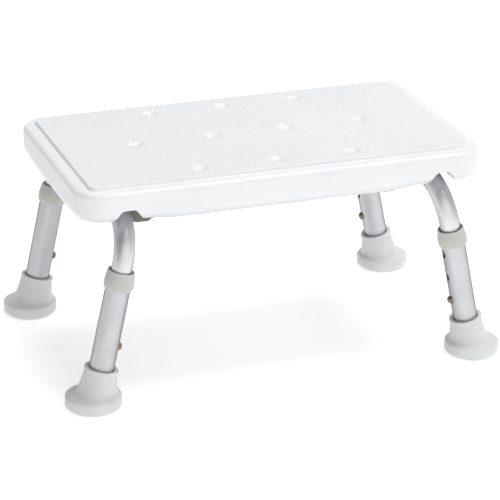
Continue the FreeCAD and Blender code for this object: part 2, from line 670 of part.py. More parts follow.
# ---------------------------------------------------------------- clamps under the seat
def tube_clamp(label, side, end):
    """A saddle under the tube, hooked into the seat outboard and held by a knob inboard.
    Local X points inboard and the seat's underside is at local Z = 0."""
    body = new_body(f"tube_clamp_{label}")
    step, lug = f"sqrt({SADDLE_RADIUS} ^ 2 - clamp_plate ^ 2)", f"({KNOB_OFFSET} + clamp_lug)"
    profile = outline(sketch_on(body, "XZ_Plane"), [
        (f"-{CLAMP_END}", "tongue_tall"), (f"-{CLAMP_END}", "-clamp_plate + clamp_round"),
        (f"-{CLAMP_END} + clamp_round", "-clamp_plate", "clamp_round"), (f"-{step}", "-clamp_plate"),
        (step, "-clamp_plate", SADDLE_RADIUS), (lug, "-clamp_plate"), (lug, "0"),
        (f"-{CLAMP_END} + tongue_thick", "0"), (f"-{CLAMP_END} + tongue_thick", "tongue_tall")])
    add(body, "Pad", profile, Length="clamp_width", Midplane=True)
    saddle = circle(sketch_on(body, "XZ_Plane"), "0", "0", GROOVE_RADIUS)
    add(body, "Pocket", saddle, Length="2 * clamp_width", Midplane=True)
    corner = lambda edge: (edge.BoundBox.XMin > number(f"{lug} - 0.1")
                           and edge.BoundBox.ZLength > number("clamp_plate - 0.1"))
    fillet(body, "clamp_corner", corner)
    hole = circle(sketch_on(body, "XY_Plane"), KNOB_OFFSET, "0", "stud_radius + slack")
    add(body, "Pocket", hole, Length="2 * clamp_plate")
    place(body, f"{side} * {TOP_X}", f"{end} * clamp_y", "axis_height", 0 if side < 0 else 180)
    return finish(body, f"tube_clamp_{label}")


def clamp_knob(label, side, end):
    """A scalloped hand knob with a neck that bears on the clamp."""
    body = new_body(f"clamp_knob_{label}")
    neck_top, top = "(-clamp_plate)", "(-clamp_plate - knob_neck)"
    low, hole = f"({top} - knob_tall)", "(stud_radius + seating)"
    add(body, "Revolution", outline(sketch_on(body, "XZ_Plane"), [
        (hole, neck_top), ("knob_neck_radius", neck_top), ("knob_neck_radius", top),
        ("knob_radius - knob_shoulder", top), ("knob_radius", f"{top} - knob_shoulder", "-knob_shoulder"),
        ("knob_radius", f"{low} + knob_crown"), ("knob_radius - knob_crown", low, "-knob_crown"),
        ("0", low), ("0", f"{low} + stud_floor"), (hole, f"{low} + stud_floor")]))
    scallop = circle(sketch_on(body, "XY_Plane"), "knob_radius + knob_scallop - knob_scallop_deep", "0",
                     "knob_scallop")
    pocket = add(body, "Pocket", scallop, Length="2 * clamp_plate + knob_neck + knob_tall")
    pattern = body.newObject("PartDesign::PolarPattern", f"{body.Name}_Pattern")
    pattern.Originals = [pocket]
    pattern.Axis = (next(f for f in body.Origin.OriginFeatures if f.Role == "Z_Axis"), [""])
    pattern.Angle = 360
    pattern.Occurrences = KNOB_SCALLOPS
    body.Tip = pattern
    doc.recompute()
    place(body, f"{side} * {KNOB_X}", f"{end} * clamp_y", "axis_height")
    return finish(body, f"clamp_knob_{label}")


def knob_stud(label, side, end):
    body = new_body(f"knob_stud_{label}")
    low = "(-clamp_plate - knob_neck - knob_tall + stud_floor)"
    add(body, "Revolution", outline(sketch_on(body, "XZ_Plane"), [
        ("0", low), ("stud_radius", low), ("stud_radius", "stud_up - stud_tip"),
        ("stud_radius - stud_tip", "stud_up"), ("0", "stud_up")]))
    place(body, f"{side} * {KNOB_X}", f"{end} * clamp_y", "axis_height")
    return finish(body, f"knob_stud_{label}")


def seat_insert(label, side, end):
    """A threaded brass insert in a solid post of the seat."""
    body = new_body(f"seat_insert_{label}")
    add(body, "Revolution", outline(sketch_on(body, "XZ_Plane"), [
        (INSERT_BORE, "0"), (INSERT_RADIUS, "0"), (INSERT_RADIUS, "insert_length"),
        (INSERT_BORE, "insert_length")]))
    place(body, f"{side} * {KNOB_X}", f"{end} * clamp_y", "axis_height")
    return finish(body, f"seat_insert_{label}")


seat()
vent_plug()
for side_label, side_sign in SIDES.items():
    upper_tube(side_label, side_sign)
for leg_label, (leg_side, leg_end) in LEGS.items():
    for build in (lower_tube, collar, end_plug, snap_button, button_spring, foot_washer, rubber_foot,
                  tube_clamp, clamp_knob, knob_stud, seat_insert):
        build(leg_label, leg_side, leg_end)
doc.recompute()

for thing in doc.Objects:
    if {"Invalid", "Error"} & set(thing.State):
        raise RuntimeError(f"{thing.Name} failed: {thing.State}")
for node in nodes:
    if node.Shape.isNull() or not node.Shape.isValid():
        raise RuntimeError(f"{node.Label} has no valid shape")

os.makedirs("parts", exist_ok=True)
for node in nodes:
    node.Shape.exportStep(f"parts/{node.Label}.step")
    box = node.Shape.BoundBox
    print(f"{node.Label:28s} solids {len(node.Shape.Solids)} volume {node.Shape.Volume:10.1f} "
          f"x {box.XMin:7.1f} {box.XMax:7.1f} y {box.YMin:7.1f} {box.YMax:7.1f} z {box.ZMin:6.1f} {box.ZMax:6.1f}")
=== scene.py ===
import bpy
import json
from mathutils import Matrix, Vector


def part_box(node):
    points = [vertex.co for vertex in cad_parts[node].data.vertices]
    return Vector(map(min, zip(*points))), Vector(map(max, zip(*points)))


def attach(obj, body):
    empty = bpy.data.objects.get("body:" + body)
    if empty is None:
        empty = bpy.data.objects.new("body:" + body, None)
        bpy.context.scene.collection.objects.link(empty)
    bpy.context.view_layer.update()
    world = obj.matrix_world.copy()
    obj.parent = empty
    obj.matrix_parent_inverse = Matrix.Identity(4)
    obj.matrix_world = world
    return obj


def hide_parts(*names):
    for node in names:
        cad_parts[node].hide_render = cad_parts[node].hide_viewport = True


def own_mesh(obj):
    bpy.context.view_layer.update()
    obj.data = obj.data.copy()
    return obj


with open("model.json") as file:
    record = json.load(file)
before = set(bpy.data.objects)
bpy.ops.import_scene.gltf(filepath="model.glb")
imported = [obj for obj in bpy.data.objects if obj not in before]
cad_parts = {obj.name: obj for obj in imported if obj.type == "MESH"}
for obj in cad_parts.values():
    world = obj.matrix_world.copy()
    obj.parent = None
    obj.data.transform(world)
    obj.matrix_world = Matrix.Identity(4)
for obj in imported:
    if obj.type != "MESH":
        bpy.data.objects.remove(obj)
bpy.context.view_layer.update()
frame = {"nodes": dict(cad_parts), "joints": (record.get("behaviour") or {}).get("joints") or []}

import json
import math

import bpy
import numpy as np
from mathutils import Matrix, Vector

MM = 0.001
JOINTS = {joint["name"]: joint for joint in frame["joints"]}
LEGS = ("front_left", "front_right", "back_left", "back_right")
SIDES = ("left", "right")


# ---------------------------------------------------------------- places read from the frame
def corners(node):
    """Lowest and highest corner of a CAD node in millimetres."""
    low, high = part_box(node)
    return np.array(low) / MM, np.array(high) / MM


def leg_matrix(leg):
    """Local Z climbs the leg from the floor, local X points inboard, in millimetres."""
    low, high = corners(f"rubber_foot_{leg}")
    up = -Vector(JOINTS[f"leg_slide_{leg}"]["axis"])
    across = Vector((0, 1, 0)) if "left" in leg else Vector((0, -1, 0))
    inboard = across.cross(up)
    turn = Matrix((inboard, across, up)).transposed().to_4x4()
    return Matrix.Translation(((low[0] + high[0]) / 2, (low[1] + high[1]) / 2, 0)) @ turn


def measured(node, matrix):
    """Lowest and highest local corner of a CAD node, in a matrix's own axes."""
    points = np.array([v.co for v in frame["nodes"][node].data.vertices]) / MM
    back = np.array(matrix.inverted())
    local = points @ back[:3, :3].T + back[:3, 3]
    return local.min(axis=0), local.max(axis=0)


# ---------------------------------------------------------------- mesh helpers
def make_piece(name, points, faces, body, replaced, slot, material, crease=35):
    """A mesh piece from points in millimetres, smooth except at edges sharper than crease."""
    mesh = bpy.data.meshes.new(name)
    mesh.from_pydata([tuple(p) for p in np.asarray(points) * MM], [], faces)
    mesh.validate()
    mesh.shade_smooth()
    mesh.set_sharp_from_angle(angle=math.radians(crease))
    thing = bpy.data.objects.new(name, mesh)
    bpy.context.scene.collection.objects.link(thing)
    mesh.materials.append(material)
    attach(thing, body)
    if replaced:
        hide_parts(*replaced)
    return thing


def between(rings, closed=False):
    """Faces that join rings of equally many points; closed joins the last ring to the first."""
    count = len(rings[0])
    faces = []
    for ring in range(len(rings) - (0 if closed else 1)):
        start, after = ring * count, ((ring + 1) % len(rings)) * count
        for k in range(count):
            n = (k + 1) % count
            faces.append((start + k, start + n, after + n, after + k))
    return faces


def rounded_path(turns, steps=4):
    """A profile whose turns (x, y, radius) are rounded by quadratic curves. Its ends stay sharp."""
    path = []
    for index, corner in enumerate(turns):
        here, radius = Vector(corner[:2]), corner[2] if len(corner) > 2 else 0
        if radius == 0 or index in (0, len(turns) - 1):
            path.append(tuple(here))
            continue
        before, after = Vector(turns[index - 1][:2]), Vector(turns[index + 1][:2])
        to_before, to_after = (before - here).normalized(), (after - here).normalized()
        half = to_before.angle(to_after) / 2
        room = 0.49 * min((before - here).length, (after - here).length)
        reach = min(radius / math.tan(half), room)
        start, end = here + to_before * reach, here + to_after * reach
        for step in range(steps + 1):
            t = step / steps
            path.append(tuple(start * (1 - t) ** 2 + here * 2 * t * (1 - t) + end * t ** 2))
    return path


def turned_rings(path, segments, matrix=Matrix.Identity(4)):
    """Rings of a turned piece: the path holds (radius, height) in the matrix's axes."""
    angles = np.linspace(0, 2 * math.pi, segments, endpoint=False)
    place = np.array(matrix)
    rings = []
    for radius, height in path:
        local = [radius * np.cos(angles), radius * np.sin(angles), np.full(segments, height)]
        rings.append(np.stack(local, axis=1) @ place[:3, :3].T + place[:3, 3])
    return rings


def capped(rings):
    """Points and faces of a solid whose first and last ring have shrunk to a point."""
    inner, count = rings[1:-1], len(rings[0])
    points = np.concatenate([*inner, rings[0][:1], rings[-1][:1]])
    first, last, final = len(inner) * count, len(inner) * count + 1, (len(inner) - 1) * count
    faces = between(inner)
    for k in range(count):
        n = (k + 1) % count
        faces.append((first, n, k))
        faces.append((last, final + k, final + n))
    return points, faces


def smooth_step(low, high, value):
    t = np.clip((value - low) / (high - low), 0, 1)
    return t * t * (3 - 2 * t)


def soft_max(a, b, width):
    """The larger of two heights, with the crease between them rounded over a width."""
    t = np.clip(0.5 + (a - b) / (2 * width), 0, 1)
    return b * (1 - t) + a * t + width * t * (1 - t)


# ---------------------------------------------------------------- materials
def new_material(name, metallic, roughness):
    material = bpy.data.materials.new(name)
    material.use_nodes = True
    shader = material.node_tree.nodes["Principled BSDF"]
    shader.inputs["Metallic"].default_value = metallic
    shader.inputs["Roughness"].default_value = roughness
    return material, material.node_tree, shader


def node(tree, kind, **inputs):
    """A node with its inputs set by name; a socket given as a value is linked."""
    made = tree.nodes.new(f"ShaderNode{kind}")
    for name, value in inputs.items():
        socket = made.inputs[name.replace("_", " ")]
        if isinstance(value, bpy.types.NodeSocket):
            tree.links.new(value, socket)
        else:
            socket.default_value = value
    return made


def places(tree, stretch=(1, 1, 1), lean=0):
    """Object coordinates in metres, leant about Y and stretched."""
    coordinates = tree.nodes.new("ShaderNodeTexCoord")
    leant = node(tree, "Mapping", Vector=coordinates.outputs["Object"], Rotation=(0, lean, 0))
    return node(tree, "Mapping", Vector=leant.outputs["Vector"], Scale=stretch).outputs["Vector"]


def grain(tree, vector, size, detail=2.0, roughness=0.5):
    """Noise whose lumps are about a size in metres."""
    made = node(tree, "TexNoise", Vector=vector, Scale=1 / size, Detail=detail, Roughness=roughness)
    return made.outputs[0]


def spread(tree, value, low, high, source=(0.3, 0.7)):
    """Stretches a value from its own range to low and high, and clamps it there."""
    return node(tree, "MapRange", Value=value, From_Min=source[0], From_Max=source[1],
                To_Min=low, To_Max=high).outputs["Result"]


def arithmetic(tree, operation, first, second):
    """One Math node; each operand is a socket or a number."""
    made = tree.nodes.new("ShaderNodeMath")
    made.operation = operation
    for socket, value in zip(made.inputs, (first, second)):
        if isinstance(value, bpy.types.NodeSocket):
            tree.links.new(value, socket)
        else:
            socket.default_value = value
    return made.outputs[0]


def blend_colours(tree, factor, first, second):
    mixed = tree.nodes.new("ShaderNodeMix")
    mixed.data_type = "RGBA"
    factor_in, first_in, second_in, blended = (
        mixed.inputs[0], mixed.inputs[6], mixed.inputs[7], mixed.outputs[2])
    for socket, value in ((factor_in, factor), (first_in, first), (second_in, second)):
        if isinstance(value, bpy.types.NodeSocket):
            tree.links.new(value, socket)
        else:
            socket.default_value = (*value, 1) if isinstance(value, tuple) else value
    return blended


def add_bump(tree, shader, *layers):
    """Bump layers, each a height socket, its depth in metres and its strength."""
    normal = None
    for height, depth, strength in layers:
        made = node(tree, "Bump", Height=height, Distance=depth, Strength=strength)
        if normal:
            tree.links.new(normal, made.inputs["Normal"])
        normal = made.outputs["Normal"]
    tree.links.new(normal, shader.inputs["Normal"])


CONVEX = (0.52, 0.62)  # pointiness at which an edge starts and ends to be coloured paler


def paler_convex_edges(tree, amount):
    """0 on flat ground and up to amount on convex edges."""
    geometry = tree.nodes.new("ShaderNodeNewGeometry")
    return spread(tree, geometry.outputs["Pointiness"], 0, amount, CONVEX)


def shade(colour, factor):
    return tuple(min(channel * factor, 1) for channel in colour)


SEAT_COLOUR = (0.776, 0.782, 0.797)
UNDERSIDE_PAINTED_SHADE = 0.74  # how much darker the seat's down-facing surfaces are painted, as painted shade from below
FACING_DOWN = (-0.85, -0.1)  # the normal's Z from which and up to which that fades
PEBBLE, PEBBLE_DEPTH = 2.1 * MM, 0.42 * MM
SPECKLE, SPECKLE_DEPTH = 0.45 * MM, 0.04 * MM
RIPPLE, RIPPLE_DEPTH = 35 * MM, 0.6 * MM
CLOUD = 90 * MM


def seat_material():
    """White polyethylene, pebbled where the mesh's grain attribute says so."""
    material, tree, shader = new_material("seat_polyethylene", 0, 0.42)
    shader.inputs["Specular IOR Level"].default_value = 0.42
    shader.inputs["Subsurface Weight"].default_value = 0.06
    shader.inputs["Subsurface Radius"].default_value = (0.004, 0.004, 0.0036)
    shader.inputs["Subsurface Scale"].default_value = 1.0
    mask = tree.nodes.new("ShaderNodeAttribute")
    mask.attribute_name = "grain"
    spot = places(tree)
    cloud = grain(tree, spot, CLOUD, 3)
    pebble = node(tree, "TexVoronoi", Vector=spot, Scale=1 / PEBBLE, Randomness=0.9)
    pebble.feature = "SMOOTH_F1"
    pebble.inputs["Smoothness"].default_value = 0.55
    valleys = spread(tree, pebble.outputs["Distance"], 0, 1, (0.15, 0.75))
    masked = arithmetic(tree, "MULTIPLY", valleys, mask.outputs["Fac"])
    pale, dull = shade(SEAT_COLOUR, 1.02), shade(SEAT_COLOUR, 0.975)
    base = blend_colours(tree, spread(tree, cloud, 0, 1), dull, pale)
    in_valleys = spread(tree, masked, 0, 0.6, (0, 1))
    base = blend_colours(tree, in_valleys, base, shade(SEAT_COLOUR, 0.9))
    # Painted shade: the seat is coloured darker where its surface faces down.
    facing = tree.nodes.new("ShaderNodeSeparateXYZ")
    tree.links.new(tree.nodes.new("ShaderNodeNewGeometry").outputs["Normal"], facing.inputs[0])
    upward = spread(tree, facing.outputs["Z"], 0, 1, FACING_DOWN)
    base = blend_colours(tree, upward, shade(SEAT_COLOUR, UNDERSIDE_PAINTED_SHADE), base)
    tree.links.new(base, shader.inputs["Base Color"])
    fine = grain(tree, spot, SPECKLE, 3, 0.6)
    rough = arithmetic(tree, "MULTIPLY_ADD", mask.outputs["Fac"], 0.1)
    tree.links.new(spread(tree, fine, 0.36, 0.48), rough.node.inputs[2])
    tree.links.new(rough, shader.inputs["Roughness"])
    ripple = grain(tree, spot, RIPPLE, 1)
    raised = arithmetic(tree, "SUBTRACT", 1, masked)
    add_bump(tree, shader, (ripple, RIPPLE_DEPTH, 0.15), (fine, SPECKLE_DEPTH, 0.35),
             (raised, PEBBLE_DEPTH, 1.0))
    return material


PAINTED_DARK_EDGE_TINT = (0.12, 0.125, 0.14)  # a dark tint of the metal's reflection at glancing angles, painted shade that darkens the tubes' edges
DRAWN_LINE, DRAWN_DEPTH = 0.35 * MM, 0.02 * MM
SPECK_DEPTH = 0.01 * MM
ALONG_LEG = (1, 1, 0.012)  # coordinate scale, whose small Z draws the lines out along the leg
ALONG_BEND = (170, 1.4, 1)  # noise cells round the tube and in each UV_LENGTH along it
UV_LENGTH = 100  # millimetres of tube in one unit of its UV map


def aluminium(name, colour, low, high, lean):
    """Anodised tube: fine drawn lines along the leg, cloudy sheen and faint specks."""
    material, tree, shader = new_material(name, 1, (low + high) / 2)
    # Painted shade: a dark glancing tint darkens the tube's edges.
    shader.inputs["Specular Tint"].default_value = (*PAINTED_DARK_EDGE_TINT, 1)
    lines = grain(tree, places(tree, ALONG_LEG, lean), DRAWN_LINE, 3, 0.65)
    cloud = grain(tree, places(tree), 22 * MM, 3)
    base = blend_colours(tree, spread(tree, cloud, 0, 1), shade(colour, 0.95), shade(colour, 1.04))
    base = blend_colours(tree, spread(tree, lines, 0, 0.5), base, shade(colour, 0.86))
    tree.links.new(base, shader.inputs["Base Color"])
    tree.links.new(spread(tree, lines, low, high), shader.inputs["Roughness"])
    speck = grain(tree, places(tree), 0.25 * MM, 2)
    add_bump(tree, shader, (lines, DRAWN_DEPTH, 0.35), (speck, SPECK_DEPTH, 0.3))
    return material


def bent_aluminium(name, colour, low, high):
    """The same finish on a bent tube, whose drawn lines follow its UV map."""
    material, tree, shader = new_material(name, 1, (low + high) / 2)
    # Painted shade: a dark glancing tint darkens the tube's edges.
    shader.inputs["Specular Tint"].default_value = (*PAINTED_DARK_EDGE_TINT, 1)
    coordinates = tree.nodes.new("ShaderNodeTexCoord")
    along = node(tree, "Mapping", Vector=coordinates.outputs["UV"], Scale=ALONG_BEND)
    lines = grain(tree, along.outputs["Vector"], 1.0, 3, 0.65)
    cloud = grain(tree, places(tree), 30 * MM, 3)
    base = blend_colours(tree, spread(tree, cloud, 0, 1), shade(colour, 0.95), shade(colour, 1.03))
    base = blend_colours(tree, spread(tree, lines, 0, 0.35), base, shade(colour, 0.88))
    tree.links.new(base, shader.inputs["Base Color"])
    tree.links.new(spread(tree, lines, low, high), shader.inputs["Roughness"])
    speck = grain(tree, places(tree), 0.3 * MM, 2)
    add_bump(tree, shader, (lines, DRAWN_DEPTH, 0.25), (speck, SPECK_DEPTH, 0.25))
    return material


def moulded(name, colour, roughness, grain_size, grain_depth, edge=0.5):
    """Moulded plastic or rubber: fine spark-eroded grain, faint clouding, paler edges."""
    material, tree, shader = new_material(name, 0, roughness)
    spot = places(tree)
    fine = grain(tree, spot, grain_size, 3, 0.6)
    cloud = grain(tree, spot, 20 * MM, 3)
    base = blend_colours(tree, spread(tree, cloud, 0, 1), shade(colour, 0.94), shade(colour, 1.05))
    base = blend_colours(tree, spread(tree, fine, 0, 0.35), base, shade(colour, 0.9))
    # Convex edges are coloured paler.
    base = blend_colours(tree, paler_convex_edges(tree, edge), base, shade(colour, 1.22))
    tree.links.new(base, shader.inputs["Base Color"])
    tree.links.new(spread(tree, fine, roughness - 0.07, roughness + 0.09), shader.inputs["Roughness"])
    add_bump(tree, shader, (cloud, 0.4 * MM, 0.1), (fine, grain_depth, 0.6))
    return material


def turned_metal(name, colour, low, high):
    """Turned, plated or rolled small metal parts with fine random scuffs."""
    material, tree, shader = new_material(name, 1, (low + high) / 2)
    spot = places(tree)
    scuffs = grain(tree, spot, 0.5 * MM, 4, 0.7)
    cloud = grain(tree, spot, 4 * MM, 3)
    base = blend_colours(tree, spread(tree, cloud, 0, 1), shade(colour, 0.84), shade(colour, 1.08))
    tree.links.new(base, shader.inputs["Base Color"])
    tree.links.new(spread(tree, scuffs, low, high), shader.inputs["Roughness"])
    add_bump(tree, shader, (scuffs, 0.03 * MM, 0.4))
    return material


LEAN = math.asin(abs(JOINTS["leg_slide_front_left"]["axis"][0]))
SEAT = seat_material()
# The bent upper tubes are the same anodised finish as the lower ones, coloured paler as a painted
# highlight.
UPPER = bent_aluminium("upper_tube_aluminium", (0.68, 0.685, 0.698), 0.34, 0.46)
LOWER = {"left": aluminium("lower_tube_aluminium_left", (0.52, 0.526, 0.538), 0.34, 0.46, -LEAN),
         "right": aluminium("lower_tube_aluminium_right", (0.52, 0.526, 0.538), 0.34, 0.46, LEAN)}
COLLAR = moulded("collar_plastic", (0.5, 0.51, 0.482), 0.48, 0.5 * MM, 0.03 * MM)
CLAMP = moulded("clamp_plastic", (0.14, 0.145, 0.128), 0.5, 0.5 * MM, 0.04 * MM)
FOOT = moulded("foot_rubber", (0.645, 0.651, 0.658), 0.52, 0.6 * MM, 0.04 * MM, 0.35)
PLUG = moulded("plug_plastic", (0.72, 0.72, 0.73), 0.4, 0.5 * MM, 0.03 * MM)
BRASS = turned_metal("button_brass", (0.235, 0.19, 0.115), 0.2, 0.34)
SPRING = turned_metal("spring_steel", (0.56, 0.57, 0.6), 0.2, 0.36)
STEEL = turned_metal("washer_steel", (0.6, 0.61, 0.62), 0.25, 0.45)
CARRIED = {"tube_end_plug": PLUG, "button_spring": SPRING, "foot_washer": STEEL, "tube_clamp": CLAMP,
           "knob_stud": STEEL, "seat_insert": BRASS, "vent_plug": PLUG}


def finish_carried_nodes():
    """CAD nodes that stay as they are get a finish."""
    for name, thing in frame["nodes"].items():
        for kind, material in CARRIED.items():
            if name.startswith(kind):
                thing.data.materials.clear()
                thing.data.materials.append(material)
        if name.startswith("lower_tube"):
            thing.data.materials.clear()
            thing.data.materials.append(LOWER["left" if "left" in name else "right"])


# ---------------------------------------------------------------- seat
# Sizes in millimetres, as the seat was moulded. Heights count from its underside.
CORNER = 29
TOP_ROUND, BOTTOM_ROUND = 5, 11
PANEL_INSET, PANEL_CORNER, PANEL_RISE, PANEL_SLOPE = 13, 9, 3, 1.7
DIMPLE_RADIUS, DIMPLE_DEPTH, DIMPLE_SOFT = 8.2, 3.0, 0.4
DIMPLE_PITCH, DIMPLE_ROW = 77, 80
DIMPLE_ROWS = ((-1, 3), (0, 4), (1, 3))
ARCH_HEIGHT, ARCH_CROWN, ARCH_HALF = 15, 4.5, 20
ARCH_LIP, ARCH_CREASE = 1.6, 0.7
CORNER_LIFT, LIFT_X, LIFT_Y = 3.0, (106, 142), (45, 100)
KISS_PITCH = (45, 58)
KISS_BASE, KISS_TIP, KISS_DEPTH, KISS_CREASE = 11, 4, 29, 0.8
GROOVE_GAP = 0.1
GRID, ARCH_GRID, RUN_GRID = 2.0, 0.8, 0.6
WALL_ROWS = 9


def seat_places():
    low, high = corners("seat")
    half_x, half_y = (high[0] - low[0]) / 2, (high[1] - low[1]) / 2
    return half_x, half_y, low[2], high[2] - low[2]


def tube_places():
    """Axis of the straight run, its half length and the tube's radius."""
    points = np.array([v.co for v in frame["nodes"]["upper_tube_right"].data.vertices]) / MM
    run = np.abs(points[:, 1]).min()
    ring = points[np.abs(np.abs(points[:, 1]) - run) < 0.01]
    return (ring[:, 0].min() + ring[:, 0].max()) / 2, run, (ring[:, 0].max() - ring[:, 0].min()) / 2


def round_edge(inset, radius):
    """How far a rounded edge falls away at an inset from the outline."""
    t = np.clip(radius - inset, 0, radius)
    return radius - np.sqrt(np.maximum(radius ** 2 - t ** 2, 0))


def inside_rectangle(x, y, half_x, half_y, corner):
    """Distance in from a rounded rectangle's outline."""
    away_x, away_y = np.abs(x) - (half_x - corner), np.abs(y) - (half_y - corner)
    outside = np.hypot(np.maximum(away_x, 0), np.maximum(away_y, 0))
    return corner - outside - np.minimum(np.maximum(away_x, away_y), 0)


def dimples(x, y):
    depth = np.zeros_like(x)
    ball = (DIMPLE_RADIUS ** 2 + DIMPLE_DEPTH ** 2) / (2 * DIMPLE_DEPTH)
    for row, count in DIMPLE_ROWS:
        for place in range(count):
            centre = (place - (count - 1) / 2) * DIMPLE_PITCH
            away = np.hypot(x - centre, y - row * DIMPLE_ROW)
            cap = np.sqrt(np.maximum(ball ** 2 - away ** 2, 0)) - (ball - DIMPLE_DEPTH)
            dish = soft_max(cap, np.zeros_like(cap), DIMPLE_SOFT) * (away < 1.4 * DIMPLE_RADIUS)
            depth = np.maximum(depth, dish)
    return depth


def top_height(x, y, inset, half_x, half_y, tall):
    rim = tall - PANEL_RISE - round_edge(inset, TOP_ROUND)
    panel = inside_rectangle(x, y, half_x - PANEL_INSET, half_y - PANEL_INSET, PANEL_CORNER)
    return rim + PANEL_RISE * smooth_step(0, PANEL_SLOPE, panel) - dimples(x, y)


def bottom_height(x, y, inset, tube_x, run, tube_radius):
    lift = CORNER_LIFT * smooth_step(*LIFT_X, np.abs(x)) * smooth_step(*LIFT_Y, np.abs(y))
    height = round_edge(inset, BOTTOM_ROUND) + lift
    away = np.abs(np.abs(x) - tube_x)
    lip = round_edge(inset, ARCH_LIP)
    arch = (ARCH_HEIGHT * (1 - smooth_step(ARCH_CROWN, ARCH_HALF, away)) + lip) * smooth_step(
        run - 1, run + 1, np.abs(y)) * (away < ARCH_HALF)
    groove = np.sqrt(np.maximum((tube_radius + GROOVE_GAP) ** 2 - away ** 2, 0))
    height = soft_max(height, np.maximum(arch, groove), ARCH_CREASE * (away < 1.5 * ARCH_HALF) + 1e-6)
    for column in range(-2, 3):
        for row in range(-1, 2):
            reach = np.hypot(x - column * KISS_PITCH[0], y - row * KISS_PITCH[1])
            cone = KISS_DEPTH * np.clip((KISS_BASE - reach) / (KISS_BASE - KISS_TIP), 0, 1)
            height = np.where(reach < 1.5 * KISS_BASE, soft_max(height, cone, KISS_CREASE), height)
    return height


def stops(low, high, marks):
    """Grid lines from low to high, closer together over each (from, to, step) mark."""
    lines, at = [low], low
    while at < high - 1e-9:
        step = min([GRID] + [mark[2] for mark in marks if mark[0] - 1e-9 <= at < mark[1] - 1e-9])
        ahead = [mark[0] for mark in marks if at + 1e-9 < mark[0] < at + step]
        at = min([at + step, high] + ahead)
        if high - at < 0.3 * step:
            at = high
        lines.append(at)
    return np.array(lines)


def seat_insets():
    """Insets of the rings that run round the seat, closer together at edges and the panel's step."""
    curve = [1 - math.cos(math.pi / 2 * k / 8) for k in range(9)]
    top = [TOP_ROUND * c for c in curve] + [7, 9] + list(np.arange(9.6, 16.4, 0.4))
    top += [18, 20, 22, 24, 26, 27.5]
    bottom = [BOTTOM_ROUND * (1 - math.cos(math.pi / 2 * k / 12)) for k in range(13)]
    bottom = sorted(bottom + [1.0, 2.0]) + [13, 15.5, 18, 20.5, 23, 25.5, 27.5]
    return top + [CORNER], bottom + [CORNER]


def outline_points(lines_x, lines_y, inset, arc_steps, half_x, half_y):
    """Points round the seat at an inset, anticlockwise from the front left corner's end."""
    x_in, y_in, radius = half_x - CORNER, half_y - CORNER, CORNER - inset
    points = [(x, -y_in - radius) for x in lines_x]
    points += [(x_in + radius * math.sin(a), -y_in - radius * math.cos(a)) for a in arc_steps]
    points += [(x_in + radius, y) for y in lines_y]
    points += [(x_in + radius * math.cos(a), y_in + radius * math.sin(a)) for a in arc_steps]
    points += [(x, y_in + radius) for x in lines_x[::-1]]
    points += [(-x_in - radius * math.sin(a), y_in + radius * math.cos(a)) for a in arc_steps]
    points += [(-x_in - radius, y) for y in lines_y[::-1]]
    points += [(-x_in - radius * math.cos(a), -y_in - radius * math.sin(a)) for a in arc_steps]
    return np.array(points)


def seat_sheet(lines_x, lines_y, insets, arc_steps, half_x, half_y, height):
    """One face of the seat: rings from the outline in, then a grid, as points and faces."""
    rings = [outline_points(lines_x, lines_y, d, arc_steps, half_x, half_y) for d in insets]
    count = len(rings[0])
    flat = np.concatenate(rings)
    inset = np.concatenate([np.full(count, d) for d in insets])
    mesh_x, mesh_y = np.meshgrid(lines_x, lines_y)
    grid = np.stack([mesh_x.ravel(), mesh_y.ravel()], axis=1)
    flat = np.concatenate([flat, grid])
    inset = np.concatenate([inset, inside_rectangle(grid[:, 0], grid[:, 1], half_x, half_y, CORNER)])
    z = height(flat[:, 0], flat[:, 1], inset)
    faces = between(rings)
    start, wide = len(rings) * count, len(lines_x)
    for j in range(len(lines_y) - 1):
        for i in range(wide - 1):
            a = start + j * wide + i
            faces.append((a, a + 1, a + wide + 1, a + wide))
    return np.column_stack([flat, z]), faces, count


WELD = 1e-4  # points nearer than this, in millimetres, are one


def weld(points, faces):
    """Joins points that share a place and drops faces that collapse."""
    keys = np.round(points / WELD).astype(np.int64)
    _, first, index = np.unique(keys, axis=0, return_index=True, return_inverse=True)
    index = index.ravel()
    kept = []
    for face in faces:
        loop = []
        for corner in (int(index[f]) for f in face):
            if corner not in loop:
                loop.append(corner)
        if len(loop) > 2:
            kept.append(tuple(loop))
    return points[first], kept


